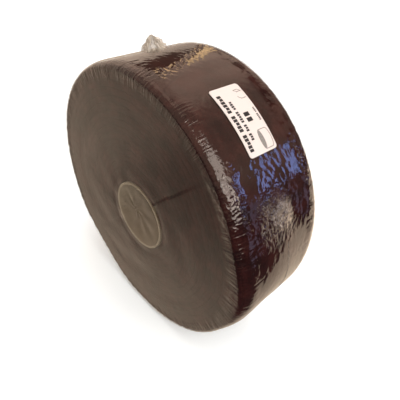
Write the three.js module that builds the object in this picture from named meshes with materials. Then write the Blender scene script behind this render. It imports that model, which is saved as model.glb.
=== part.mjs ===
// A roll of non-woven abrasive web, wound on a spiral paper core, shrink-wrapped
// in a clear film bag and labelled on its tread.
//
// Millimetres, +Z up. The roll stands on its tread, its axis along Y. The origin is
// on the floor under the roll's centre, midway between its two faces. +X is the
// labelled side.

import * as THREE from 'three';
import { mergeVertices } from 'three/addons/utils/BufferGeometryUtils.js';

// ---- Driving dimensions --------------------------------------------------------

const WEB_WIDTH = 115; // nominal width of the roll
const ROLL_RADIUS = 160; // over the film
const SHOULDER_RADIUS = 12; // where the film turns from the tread onto a face
const FILM_THICKNESS = 0.4;
const CLEARANCE = 0.3; // between pieces that touch
const EDGE_CLEARANCE = 0.5; // between the web's edges and the film

const REST_HALF_ANGLE = 9; // degrees of tread, each side, that lie flat on the floor
const SETTLE_DEPTH = 14; // how deep the soft web is squeezed above the floor
// The soft roll has slumped out of round: how far its tread stands out, or is drawn in,
// at the front and back faces, at an angle and fading out this many degrees either side.
const SWELLS = [
  { front: 8, back: -1, angle: -7, spread: 26 },
  { front: -7.5, back: -7.5, angle: -127, spread: 28 },
];

const CORE_BORE_RADIUS = 38.1; // a 3 inch core
const PLY_THICKNESS = 0.4;
const PLY_PITCH = 0.5;
const PLY_NAMES = [
  'core_inner_ply',
  'core_middle_ply_1',
  'core_middle_ply_2',
  'core_middle_ply_3',
  'core_outer_ply',
];
const PLY_LEAD = 110; // axial travel of a ply's seam in one turn
const PLY_SEAM_GAP = 0.4;
const PLY_SEAM_PHASE = 144; // degrees between one ply's seam and the next
const CORE_OFFSET_X = 3.2; // the core sits low and to one side in the soft roll
const CORE_OFFSET_Z = -7.7;

const TURN_STEP = 12; // degrees between the web's cross sections
const WEB_START_ANGLE = 47; // where the web's first end lies on the core
const WEB_TURNS = 16.1;
const TAIL_SQUEEZED = 2.5; // thickness left at the tail, which the film presses down
const STEP_RISE_SHARE = 0.1; // part of a turn over which a turn climbs the first end
const STEP_FADE_TURNS = 6; // turns over which that climb smooths out
const SECTION_MIDDLE = 0.55; // where in the web's thickness its edge bends

const TACK_TAPE_THICKNESS = 0.2;
const TACK_TAPE_STEPS = 2; // length of the tape, in web cross sections

const SEAM_Y = 6; // plane of the weld between the two film panels
const SEAL_WIDTH = 1.4;
const SEAL_THICKNESS = 0.5;
const SEAL_STEP = 3; // degrees

const LABEL_LENGTH = 70;
const LABEL_WIDTH = 35;
const LABEL_CORNER = 3;
const LABEL_THICKNESS = 0.3;
const LABEL_ANGLE = 54.4; // degrees from +X towards +Z
const LABEL_Y = 1;

// The square bag's corners shrink into ears at quarter turns round the tread.
const CORNERS = [
  { name: 'film_corner_top', angle: 110, y: 12, along: 14, across: 12, height: 15 },
  { name: 'film_corner_right', angle: 20, y: 3, along: 18, across: 17, height: 2.5 },
  { name: 'film_corner_bottom', angle: -70, y: 6, along: 14, across: 14, height: 2.5 },
  { name: 'film_corner_left', angle: -160, y: 6, along: 18, across: 17, height: 2.5 },
];

// Three sides of the bag are welded; the fourth, under the label, is the film's fold.
const SEALS = [
  { name: 'film_seal_right', from: -58, to: 10 },
  { name: 'film_seal_bottom', from: -150, to: -102 },
  { name: 'film_seal_left', from: 122, to: 188 },
];

// ---- Worked out from them --------------------------------------------------------

const radians = THREE.MathUtils.degToRad;
const REST_DEPTH = ROLL_RADIUS * (1 - Math.cos(radians(REST_HALF_ANGLE)));
const CENTRE_HEIGHT = ROLL_RADIUS - REST_DEPTH;
const FACE_Y = WEB_WIDTH / 2 + EDGE_CLEARANCE + FILM_THICKNESS;
const FACE_RADIUS = ROLL_RADIUS - SHOULDER_RADIUS;
const CORE_RADIUS = CORE_BORE_RADIUS + PLY_PITCH * PLY_NAMES.length;
const WEB_INNER_RADIUS = CORE_RADIUS + 2 * PLY_PITCH;
const WEB_OUTER_RADIUS = ROLL_RADIUS - FILM_THICKNESS - 2 * CLEARANCE;
const WEB_THICKNESS = (WEB_OUTER_RADIUS - WEB_INNER_RADIUS - TAIL_SQUEEZED) / WEB_TURNS;

// ---- Solids ------------------------------------------------------------------------

// Joins equal rings of points into one closed body, with a flat fan over each end.
function loft(rings) {
  const size = rings[0].length;
  const positions = rings.flat().flatMap((point) => [point.x, point.y, point.z]);
  const index = [];
  for (let row = 0; row < rings.length - 1; row += 1) {
    for (let column = 0; column < size; column += 1) {
      const here = row * size + column;
      const beside = row * size + ((column + 1) % size);
      index.push(here, beside, beside + size, here, beside + size, here + size);
    }
  }
  const last = (rings.length - 1) * size;
  for (let column = 1; column < size - 1; column += 1) {
    index.push(0, column + 1, column);
    index.push(last, last + column, last + column + 1);
  }
  const geometry = new THREE.BufferGeometry();
  geometry.setAttribute('position', new THREE.Float32BufferAttribute(positions, 3));
  geometry.setIndex(index);
  return geometry;
}

// A point on a cylinder about the roll's axis, or about one through (x, z).
function onCylinder(radius, degrees, y, x = 0, z = 0) {
  const angle = radians(degrees);
  return new THREE.Vector3(x + radius * Math.cos(angle), y, z + radius * Math.sin(angle));
}

// Moves a point of the round roll to where the slumped roll has it, the less the nearer
// it is to the axis.
function slump(point) {
  const away = Math.hypot(point.x, point.z) / ROLL_RADIUS;
  const degrees = THREE.MathUtils.radToDeg(Math.atan2(point.z, point.x));
  const across = point.y / WEB_WIDTH + 0.5;
  let change = 0;
  for (const { front, back, angle, spread } of SWELLS) {
    const aside = THREE.MathUtils.euclideanModulo(degrees - angle + 180, 360) - 180;
    const share = (1 + Math.cos(Math.PI * Math.min(Math.abs(aside) / spread, 1))) / 2;
    change += share * THREE.MathUtils.lerp(front, back, across);
  }
  const scale = 1 + (change * away ** 4) / ROLL_RADIUS;
  point.x *= scale;
  point.z *= scale;
}

// Slumps a point, then flattens the roll on the floor by its own weight: below
// SETTLE_DEPTH each column of it is squeezed evenly, so that the tread ends at the floor.
function settle(point) {
  slump(point);
  const reach = Math.sqrt(Math.max(ROLL_RADIUS ** 2 - point.x ** 2, 0));
  const sunk = reach - CENTRE_HEIGHT;
  const soft = reach - SETTLE_DEPTH;
  const below = -point.z - soft;
  if (sunk > 0 && below > 0) {
    point.z = -(soft + (below * (SETTLE_DEPTH - sunk)) / SETTLE_DEPTH);
  }
  return point;
}

function settleGeometry(geometry) {
  const position = geometry.getAttribute('position');
  const point = new THREE.Vector3();
  for (let i = 0; i < position.count; i += 1) {
    settle(point.fromBufferAttribute(position, i));
    position.setXYZ(i, point.x, point.y, point.z);
  }
  return geometry;
}

// Six times the volume that a closed mesh's triangles enclose: negative if inside out.
function signedVolume(position, index) {
  const [a, b, c] = [new THREE.Vector3(), new THREE.Vector3(), new THREE.Vector3()];
  let sum = 0;
  for (let i = 0; i < index.length; i += 3) {
    a.fromBufferAttribute(position, index[i]);
    b.fromBufferAttribute(position, index[i + 1]);
    c.fromBufferAttribute(position, index[i + 2]);
    sum += a.dot(b.cross(c));
  }
  return sum;
}

// Only positions matter in a solid: each place in it has one vertex, no triangle is
// degenerate, and the faces point out.
function asSolid(geometry) {
  geometry.deleteAttribute('normal');
  geometry.deleteAttribute('uv');
  const merged = mergeVertices(geometry, 1e-3);
  const index = merged.getIndex().array;
  const kept = [];
  for (let i = 0; i < index.length; i += 3) {
    const [a, b, c] = index.slice(i, i + 3);
    if (a !== b && b !== c && c !== a) kept.push(a, b, c);
  }
  if (signedVolume(merged.getAttribute('position'), kept) < 0) kept.reverse();
  merged.setIndex(kept);
  merged.computeVertexNormals();
  return merged;
}

// ---- Core ----------------------------------------------------------------------------

// One paper strip wound as a helix, its long edges butted and its ends cut square with
// the tube. At each angle it covers the width from its own seam up to the next turn's.
function corePly(innerRadius, seamPhase) {
  const half = WEB_WIDTH / 2;
  const rings = [];
  const turns = (WEB_WIDTH + PLY_LEAD) / PLY_LEAD;
  const steps = Math.floor((turns * 360) / TURN_STEP);
  for (let step = 1; step < steps; step += 1) {
    const upper = -half + (PLY_LEAD * step * TURN_STEP) / 360;
    const low = Math.max(-half, upper - PLY_LEAD + PLY_SEAM_GAP);
    const high = Math.min(half, upper);
    const angle = WEB_START_ANGLE + seamPhase + step * TURN_STEP;
    const corner = (radius, y) => onCylinder(radius, angle, y, CORE_OFFSET_X, CORE_OFFSET_Z);
    const outerRadius = innerRadius + PLY_THICKNESS;
    rings.push([
      corner(innerRadius, low),
      corner(innerRadius, high),
      corner(outerRadius, high),
      corner(outerRadius, low),
    ]);
  }
  return loft(rings);
}

// ---- Web -------------------------------------------------------------------------------

// Radius of the web's under side after some turns. Each turn lies on the one below and
// climbs over the first end at the same place, a step that fades out over the turns.
function underSide(turns) {
  if (turns > WEB_TURNS) {
    return underSide(WEB_TURNS) + TAIL_SQUEEZED * (turns - WEB_TURNS);
  }
  const share = turns - Math.floor(turns + 1e-9);
  const rise = THREE.MathUtils.smoothstep(share, 1 - STEP_RISE_SHARE, 1);
  const lag = Math.exp(-turns / STEP_FADE_TURNS) * (share - rise);
  return WEB_INNER_RADIUS + WEB_THICKNESS * (turns - lag);
}

// The turns' centre moves from the core's centre to the roll's as they go out.
function onTurn(radius, degrees, y) {
  const span = WEB_OUTER_RADIUS - WEB_INNER_RADIUS;
  const inward = THREE.MathUtils.clamp((WEB_OUTER_RADIUS - radius) / span, 0, 1);
  return onCylinder(radius, degrees, y, CORE_OFFSET_X * inward, CORE_OFFSET_Z * inward);
}

// Half the width of the roll at a distance from its axis: full, then round the shoulder.
function halfWidthAt(distance) {
  const into = Math.max(distance - FACE_RADIUS, 0);
  const shoulder = SHOULDER_RADIUS - FILM_THICKNESS - EDGE_CLEARANCE;
  return WEB_WIDTH / 2 - shoulder + Math.sqrt(Math.max(shoulder ** 2 - into ** 2, 0));
}

function webEdges(radius, degrees) {
  const middle = onTurn(radius, degrees, 0);
  const half = halfWidthAt(Math.hypot(middle.x, middle.z));
  return [-half, half].map((y) => settle(onTurn(radius, degrees, y)));
}

function web() {
  const rings = [];
  const steps = Math.round((WEB_TURNS * 360) / TURN_STEP);
  for (let step = 0; step <= steps; step += 1) {
    const angle = WEB_START_ANGLE + step * TURN_STEP;
    const turns = (step * TURN_STEP) / 360;
    const under = underSide(turns);
    const over = underSide(turns + 1) - CLEARANCE;
    const middle = THREE.MathUtils.lerp(under, over, SECTION_MIDDLE);
    const [underFront, underBack] = webEdges(under, angle);
    const [middleFront, middleBack] = webEdges(middle, angle);
    const [overFront, overBack] = webEdges(over, angle);
    rings.push([underFront, underBack, middleBack, overBack, overFront, middleFront]);
  }
  return loft(rings);
}

// Double-sided tape that holds the web's first end on the core.
function tackTape() {
  const rings = [];
  const inner = CORE_RADIUS + PLY_PITCH / 2;
  const outer = inner + TACK_TAPE_THICKNESS;
  const half = WEB_WIDTH / 2 - 2;
  for (let step = 0; step <= TACK_TAPE_STEPS; step += 1) {
    const angle = WEB_START_ANGLE + step * TURN_STEP;
    const corner = (radius, y) => onCylinder(radius, angle, y, CORE_OFFSET_X, CORE_OFFSET_Z);
    rings.push([
      corner(inner, -half),
      corner(inner, half),
      corner(outer, half),
      corner(outer, -half),
    ]);
  }
  return loft(rings);
}

// ---- Film bag ----------------------------------------------------------------------------

// One panel of the bag: a disc, the shoulder and its share of the tread, up to the seam.
// side is -1 for the front panel and +1 for the back one.
function filmPanel(side) {
  const segments = 360 / 6;
  const shoulderSteps = 4;
  const rim = SEAM_Y + (side * CLEARANCE) / 2;
  const wall = (inset) => {
    const radius = SHOULDER_RADIUS - inset;
    const points = [new THREE.Vector2(0, side * (FACE_Y - inset))];
    for (let step = 0; step <= shoulderSteps; step += 1) {
      const angle = (Math.PI / 2) * (1 - step / shoulderSteps);
      const out = FACE_RADIUS + radius * Math.cos(angle);
      const along = FACE_Y - SHOULDER_RADIUS + radius * Math.sin(angle);
      points.push(new THREE.Vector2(out, side * along));
    }
    points.push(new THREE.Vector2(ROLL_RADIUS - inset, rim));
    return points;
  };
  const profile = [...wall(0), ...wall(FILM_THICKNESS).reverse()];
  if (side < 0) profile.reverse();
  profile[0].x = 0;
  const halfStep = Math.PI / segments;
  const lathe = new THREE.LatheGeometry(profile.reverse(), segments, halfStep);
  return settleGeometry(lathe);
}

// A weld bead along part of the seam.
function filmSeal({ from, to }) {
  const rings = [];
  const inner = ROLL_RADIUS + CLEARANCE;
  const outer = inner + SEAL_THICKNESS;
  const steps = Math.round((to - from) / SEAL_STEP);
  for (let step = 0; step <= steps; step += 1) {
    const angle = THREE.MathUtils.lerp(from, to, step / steps);
    const corner = (radius, y) => settle(onCylinder(radius, angle, y));
    rings.push([
      corner(inner, SEAM_Y - SEAL_WIDTH / 2),
      corner(inner, SEAM_Y + SEAL_WIDTH / 2),
      corner(outer, SEAM_Y + SEAL_WIDTH / 2),
      corner(outer, SEAM_Y - SEAL_WIDTH / 2),
    ]);
  }
  return loft(rings);
}

// A gathered corner of the bag: a dome on the tread, its foot an ellipse.
function filmCorner({ angle, y, along, across, height }) {
  const profile = [new THREE.Vector2(0, 0)];
  const rings = 5;
  for (let ring = 0; ring <= rings; ring += 1) {
    const out = 1 - ring / rings;
    profile.push(new THREE.Vector2(out, 0.25 + (height - 0.25) * (1 - out) ** 1.4));
  }
  profile.splice(1, 0, new THREE.Vector2(1, 0));
  const dome = new THREE.LatheGeometry(profile, 16);
  const position = dome.getAttribute('position');
  for (let i = 0; i < position.count; i += 1) {
    const turn = angle + THREE.MathUtils.radToDeg((along * position.getX(i)) / ROLL_RADIUS);
    const radius = ROLL_RADIUS + CLEARANCE + position.getY(i);
    const place = settle(onCylinder(radius, turn, y + across * position.getZ(i)));
    position.setXYZ(i, place.x, place.y, place.z);
  }
  return dome;
}

// ---- Label -------------------------------------------------------------------------------

// A paper sticker bent round the tread, with rounded corners.
function label() {
  const rings = [];
  const inner = ROLL_RADIUS + CLEARANCE;
  const outer = inner + LABEL_THICKNESS;
  const ends = [0, 0.12, 0.5, 1].map((share) => share * LABEL_CORNER);
  const middles = [1, 2, 3, 4, 5].map((sixth) => (sixth / 6) * LABEL_LENGTH);
  const stations = [...ends, ...middles, ...ends.map((end) => LABEL_LENGTH - end).reverse()];
  for (const station of stations) {
    const toEnd = Math.min(station, LABEL_LENGTH - station, LABEL_CORNER);
    const cut = LABEL_CORNER - Math.sqrt(LABEL_CORNER ** 2 - (LABEL_CORNER - toEnd) ** 2);
    const half = LABEL_WIDTH / 2 - cut;
    const arc = (station - LABEL_LENGTH / 2) / ROLL_RADIUS;
    const angle = LABEL_ANGLE + THREE.MathUtils.radToDeg(arc);
    rings.push([
      onCylinder(inner, angle, LABEL_Y - half),
      onCylinder(inner, angle, LABEL_Y + half),
      onCylinder(outer, angle, LABEL_Y + half),
      onCylinder(outer, angle, LABEL_Y - half),
    ]);
  }
  return loft(rings);
}

// ---- Assembly ------------------------------------------------------------------------------

const FINISHES = {
  kraft: { color: 0xa8916c, roughness: 0.85, metalness: 0 },
  tape: { color: 0xd9d4c4, roughness: 0.5, metalness: 0 },
  abrasive: { color: 0x4a1a1a, roughness: 0.95, metalness: 0 },
  film: { color: 0xb9b4ac, roughness: 0.15, metalness: 0, transparent: true, opacity: 0.35 },
  label: { color: 0xf8f2ea, roughness: 0.6, metalness: 0 },
};

const roll = new THREE.Group();
roll.position.set(0, 0, CENTRE_HEIGHT);

function add(name, finish, geometry) {
  const mesh = new THREE.Mesh(asSolid(geometry), new THREE.MeshStandardMaterial(FINISHES[finish]));
  mesh.name = name;
  roll.add(mesh);
}

PLY_NAMES.forEach((name, i) => {
  add(name, 'kraft', corePly(CORE_BORE_RADIUS + i * PLY_PITCH, i * PLY_SEAM_PHASE));
});
add('web_tack_tape', 'tape', tackTape());
add('abrasive_web', 'abrasive', web());
add('film_front_panel', 'film', filmPanel(-1));
add('film_back_panel', 'film', filmPanel(1));
SEALS.forEach((seal) => add(seal.name, 'film', filmSeal(seal)));
CORNERS.forEach((corner) => add(corner.name, 'film', filmCorner(corner)));
add('label', 'label', label());

const part = new THREE.Group();
part.add(roll);

export default part;
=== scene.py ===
"""A shrink-wrapped roll of non-woven abrasive web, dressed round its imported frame.

The roll stands on its tread. Its axis runs along Y, its front face is towards -Y and
+Z is up. Angles round the roll are in degrees from +X towards +Z. Lengths are metres.
"""

import logging
import math
from dataclasses import dataclass, field
from enum import Enum

import bmesh
import bpy
import numpy as np
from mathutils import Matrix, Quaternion, Vector


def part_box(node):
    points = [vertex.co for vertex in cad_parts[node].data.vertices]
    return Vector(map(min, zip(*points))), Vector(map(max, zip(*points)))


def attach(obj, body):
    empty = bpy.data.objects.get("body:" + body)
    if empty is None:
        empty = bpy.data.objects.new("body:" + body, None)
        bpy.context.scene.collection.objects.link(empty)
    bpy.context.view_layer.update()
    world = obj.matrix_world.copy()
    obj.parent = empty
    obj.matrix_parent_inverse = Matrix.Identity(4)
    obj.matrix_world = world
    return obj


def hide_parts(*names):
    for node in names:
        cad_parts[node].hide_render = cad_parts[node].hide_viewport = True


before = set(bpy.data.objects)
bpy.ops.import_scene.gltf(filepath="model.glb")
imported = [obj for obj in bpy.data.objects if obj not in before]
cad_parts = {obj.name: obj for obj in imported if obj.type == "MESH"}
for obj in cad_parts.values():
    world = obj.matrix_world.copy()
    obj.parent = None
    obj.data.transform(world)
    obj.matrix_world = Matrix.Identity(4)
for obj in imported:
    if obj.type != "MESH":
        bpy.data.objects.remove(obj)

log = logging.getLogger("abrasive_roll")

MM = 0.001
DEGREES = 180.0 / math.pi  # in a radian
ROOT = "root"


# ---- Shader nodes ------------------------------------------------------------------


class Value:
    """A shader socket that Python's operators work on, each adding a Math node."""

    def __init__(self, shading: "Shading", socket: bpy.types.NodeSocket) -> None:
        """Keeps the socket and the shading that its next nodes go to."""
        self.shading = shading
        self.socket = socket

    def maths(self, operation: str, *values: "Value | float") -> "Value":
        """A Math node on these values.

        Args:
            operation: the node's operation, such as "MULTIPLY".
            *values: its inputs in order.

        Returns:
            The node's result.
        """
        settings = {"operation": operation}
        return self.shading.node("ShaderNodeMath", settings, dict(enumerate(values)))

    def __add__(self, other: "Value | float") -> "Value":
        """Sum."""
        return self.maths("ADD", self, other)

    def __radd__(self, other: float) -> "Value":
        """Sum with a number on the left."""
        return self.maths("ADD", other, self)

    def __sub__(self, other: "Value | float") -> "Value":
        """Difference."""
        return self.maths("SUBTRACT", self, other)

    def __rsub__(self, other: float) -> "Value":
        """Difference from a number on the left."""
        return self.maths("SUBTRACT", other, self)

    def __mul__(self, other: "Value | float") -> "Value":
        """Product."""
        return self.maths("MULTIPLY", self, other)

    def __rmul__(self, other: float) -> "Value":
        """Product with a number on the left."""
        return self.maths("MULTIPLY", other, self)

    def __truediv__(self, other: "Value | float") -> "Value":
        """Quotient."""
        return self.maths("DIVIDE", self, other)

    def __pow__(self, other: "Value | float") -> "Value":
        """Power."""
        return self.maths("POWER", self, other)

    def smooth(self, low: float, high: float) -> "Value":
        """0 at low, 1 at high and a smooth step between; low may be above high."""
        settings = {"interpolation_type": "SMOOTHSTEP"}
        inputs = {"Value": self, "From Min": low, "From Max": high}
        return self.shading.node("ShaderNodeMapRange", settings, inputs)

    def between(self, low: float, high: float, soft: float) -> "Value":
        """1 between two values and 0 outside them, with soft edges that wide."""
        rise = self.smooth(low - soft, low + soft)
        return rise * self.smooth(high + soft, high - soft)


class Shading:
    """The node tree of one material or world."""

    def __init__(self, owner: bpy.types.Material | bpy.types.World) -> None:
        """Empties the owner's tree."""
        owner.use_nodes = True
        self.tree = owner.node_tree
        self.tree.nodes.clear()

    def node(
        self,
        kind: str,
        settings: dict[str, object] | None = None,
        inputs: dict[str | int, object] | None = None,
        output: str | int = 0,
    ) -> Value:
        """Adds a node of any type.

        Args:
            kind: the node's type.
            settings: its properties, set first. "stops" sets a colour ramp's
                (place, colour) pairs.
            inputs: a value, or a Value to link, for each named or numbered socket.
            output: the output that is wanted.

        Returns:
            That output.
        """
        made = self.tree.nodes.new(kind)
        for name, setting in (settings or {}).items():
            if name == "stops":
                self._set_stops(made.color_ramp, setting)
            else:
                setattr(made, name, setting)
        for name, value in (inputs or {}).items():
            if isinstance(value, Value):
                self.tree.links.new(value.socket, made.inputs[name])
            else:
                made.inputs[name].default_value = value
        return Value(self, made.outputs[output]) if made.outputs else Value(self, None)

    @staticmethod
    def _set_stops(ramp: bpy.types.ColorRamp, stops: list[tuple[float, tuple]]) -> None:
        """Gives a ramp these stops."""
        while len(ramp.elements) < len(stops):
            ramp.elements.new(0.5)
        for element, (place, colour) in zip(ramp.elements, stops, strict=True):
            element.position = place
            element.color = (*colour, 1.0)

    def place(self) -> Value:
        """The shaded point in the roll's own frame."""
        return self.node("ShaderNodeTexCoord", output="Object")

    def noise(self, where: Value, scale: float, detail: float = 3.0) -> Value:
        """Noise from 0 to 1, with scale features to the metre."""
        inputs = {"Vector": where, "Scale": scale, "Detail": detail}
        return self.node("ShaderNodeTexNoise", None, inputs, "Fac")

    def stretched(self, where: Value, scale: tuple[float, float, float]) -> Value:
        """A place with each axis scaled, so that a pattern on it is drawn out."""
        inputs = {"Vector": where, "Scale": scale}
        return self.node("ShaderNodeMapping", None, inputs)

    def axes(self, where: Value) -> list[Value]:
        """A place's X, Y and Z."""
        kind = "ShaderNodeSeparateXYZ"
        return [self.node(kind, None, {0: where}, axis) for axis in ("X", "Y", "Z")]

    def round_roll(self, where: Value) -> tuple[Value, Value, Value]:
        """A place as the roll sees it.

        Args:
            where: the place, in the roll's own frame.

        Returns:
            The direction from the roll's axis to it, its length 1; its distance from
            the axis; and its angle in degrees.
        """
        middle = (0.0, 0.0, Roll.centre_height)
        offset = {"operation": "SUBTRACT"}
        out = self.node("ShaderNodeVectorMath", offset, {0: where, 1: middle})
        flat = self.stretched(out, (1.0, 0.0, 1.0))
        spoke = self.node("ShaderNodeVectorMath", {"operation": "NORMALIZE"}, {0: flat})
        length = {"operation": "LENGTH"}
        distance = self.node("ShaderNodeVectorMath", length, {0: flat}, "Value")
        x, _, z = self.axes(flat)
        return spoke, distance, z.maths("ARCTAN2", z, x) * DEGREES

    def blend(self, share: "Value | float", first: object, second: object) -> Value:
        """Two colours, each a Value or red, green and blue, mixed by share."""
        ends = [end if isinstance(end, Value) else (*end, 1.0) for end in (first, second)]
        inputs = {0: share, 6: ends[0], 7: ends[1]}
        return self.node("ShaderNodeMix", {"data_type": "RGBA"}, inputs, 2)

    def bump(self, height: Value, distance: float, below: Value | None = None) -> Value:
        """A normal bent by a height, with distance metres for a height of 1."""
        inputs: dict[str | int, object] = {"Height": height, "Distance": distance}
        if below:
            inputs["Normal"] = below
        return self.node("ShaderNodeBump", None, inputs)

    def surface(self, shader: Value) -> None:
        """Makes a shader the material's surface."""
        self.node("ShaderNodeOutputMaterial", None, {"Surface": shader})


def new_material(name: str) -> tuple[bpy.types.Material, Shading]:
    """A material and its shading."""
    material = bpy.data.materials.new(name)
    return material, Shading(material)


def new_object(name: str, data: bpy.types.ID) -> bpy.types.Object:
    """An object with this data, in the scene, at the origin."""
    made = bpy.data.objects.new(name, data)
    bpy.context.scene.collection.objects.link(made)
    return made


# ---- Sizes -------------------------------------------------------------------------


def bell(value: np.ndarray, centre: float, width: float) -> np.ndarray:
    """1 at centre, falling off as a bell curve of that width."""
    return np.exp(-(((value - centre) / width) ** 2))


def ramp(value: np.ndarray, low: float, high: float) -> np.ndarray:
    """0 at low, 1 at high and a smooth step between."""
    share = np.clip((value - low) / (high - low), 0.0, 1.0)
    return share * share * (3 - 2 * share)


def angle_from(degrees: np.ndarray, centre: float) -> np.ndarray:
    """Degrees from centre, between -180 and 180."""
    return (degrees - centre + 180.0) % 360.0 - 180.0


class Roll:
    """Sizes of the whole roll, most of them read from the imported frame."""

    facet = math.radians(3)  # half of one of the film's facets
    rest_half_angle = math.radians(9)
    # Where the slumped roll's tread stands out or is drawn in: how far at the front
    # face and at the back one, at what angle, and how many degrees it fades out over.
    swells = ((8.0 * MM, -1.0 * MM, -7.0, 26.0), (-7.5 * MM, -7.5 * MM, -127.0, 28.0))
    shoulder_out = 7.1 * MM  # the shoulder's height, from the face's edge to the tread
    shoulder_in = 18 * MM  # and its depth, from the face's plane to the tread's edge
    film_gap = 0.9 * MM  # from the film's outside to the web's edges
    settle_depth = 14 * MM

    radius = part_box("film_back_panel")[1].z / (math.cos(rest_half_angle) + math.cos(facet))
    face_y = -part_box("film_front_panel")[0].y
    half_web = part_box("abrasive_web")[1].y
    centre_height = radius * math.cos(rest_half_angle)
    face_radius = radius - shoulder_out

    core_low, core_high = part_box("core_outer_ply")
    core_x = (core_low.x + core_high.x) / 2
    core_z = (core_low.z + core_high.z) / 2
    bore_low, bore_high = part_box("core_inner_ply")
    bore_radius = (bore_high.x - bore_low.x) / 2 - 0.4 * MM

    web_inner = 41.6 * MM
    web_outer = radius - 1.0 * MM
    web_start = 47.0  # degrees, where the web's first end lies
    web_turns = 16.1
    tail_step = 1.3 * MM
    tail_angle = web_start + 37.8  # degrees, where the web's tail lies at mid-width
    tail_skew = 180.0  # degrees that the slanting tail gains per metre across
    crease_angle = 42.1  # the front face's straight crease: its lie in degrees
    crease_aside = 2.3 * MM  # and how far it passes from the roll's axis
    seam_middle = 6 * MM
    # Where the weld wanders from its middle: how far, at what angle, over how many degrees.
    seam_lobes = ((7 * MM, -12.0, 13.0), (6 * MM, 110.0, 25.0), (-3.5 * MM, 24.0, 10.0))

    @classmethod
    def on_tread(cls, radius: np.ndarray, degrees: np.ndarray, y: np.ndarray) -> np.ndarray:
        """Points at a radius, angle and y about the roll's axis, settled on the floor."""
        angle = np.radians(degrees)
        return cls.slumped(radius * np.cos(angle), radius * np.sin(angle), y)

    @classmethod
    def slumped(cls, x: np.ndarray, z: np.ndarray, y: np.ndarray) -> np.ndarray:
        """Points of the round roll, moved to where the soft roll has slumped.

        The tread swells out or is drawn in, less and less towards the core, and its
        foot is flattened.
        """
        radius = np.hypot(x, z)
        degrees = np.degrees(np.arctan2(z, x))
        across = 0.5 + y / (2 * cls.half_web)
        change = 0.0
        for front, back, angle, spread in cls.swells:
            aside = np.minimum(np.abs(angle_from(degrees, angle)) / spread, 1.0)
            height = front + (back - front) * across
            change = change + height * (1 + np.cos(np.pi * aside)) / 2
        scale = 1 + change * (radius / cls.radius) ** 4 / cls.radius
        z = cls.settled(x * scale, z * scale) + cls.centre_height
        return np.stack(np.broadcast_arrays(x * scale, y, z), axis=-1)

    @classmethod
    def settled(cls, x: np.ndarray, z: np.ndarray) -> np.ndarray:
        """The heights z of points once the roll's weight has flattened it.

        In each upright column, what lies within settle_depth of the tread is squeezed
        evenly, so that the tread ends at the floor.
        """
        reach = np.sqrt(np.maximum(cls.radius**2 - x**2, 0.0))
        sunk = np.maximum(reach - cls.centre_height, 0.0)
        soft = reach - cls.settle_depth
        below = -z - soft
        pressed = -(soft + below * (cls.settle_depth - sunk) / cls.settle_depth)
        return np.where(below > 0, pressed, z)

    @classmethod
    def seam_y(cls, degrees: np.ndarray) -> np.ndarray:
        """Where the film's weld runs: a wandering line near the middle of the tread."""
        wander = cls.seam_middle + 0.0 * degrees
        for aside, angle, spread in cls.seam_lobes:
            wander = wander + aside * bell(angle_from(degrees, angle), 0.0, spread)
        return wander


# ---- Surfaces ----------------------------------------------------------------------


def ripple(
    degrees: np.ndarray,
    along: np.ndarray,
    seed: int,
    around: tuple[int, int],
    across: tuple[float, float],
    waves: int = 40,
) -> np.ndarray:
    """Random ripples that close on themselves round the roll.

    A sum of cosines, each with a whole number of waves round the roll, a number of
    waves per metre across it, and a random phase.

    Args:
        degrees: angle round the roll.
        along: distance across it, in metres.
        seed: for the random numbers.
        around: fewest and most waves in a turn.
        across: fewest and most waves per metre.
        waves: how many cosines are added.

    Returns:
        Heights whose spread is about 1.
    """
    draw = np.random.default_rng(seed)
    angle = np.radians(degrees)
    total = np.zeros(np.broadcast(degrees, along).shape)
    for _ in range(waves):
        turns = int(draw.integers(around[0], around[1] + 1))
        rate = 2 * math.pi * draw.uniform(*across) * draw.choice((-1, 1))
        total += np.cos(turns * angle + rate * along + draw.uniform(0, 2 * math.pi))
    return total * math.sqrt(2 / waves)


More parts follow.
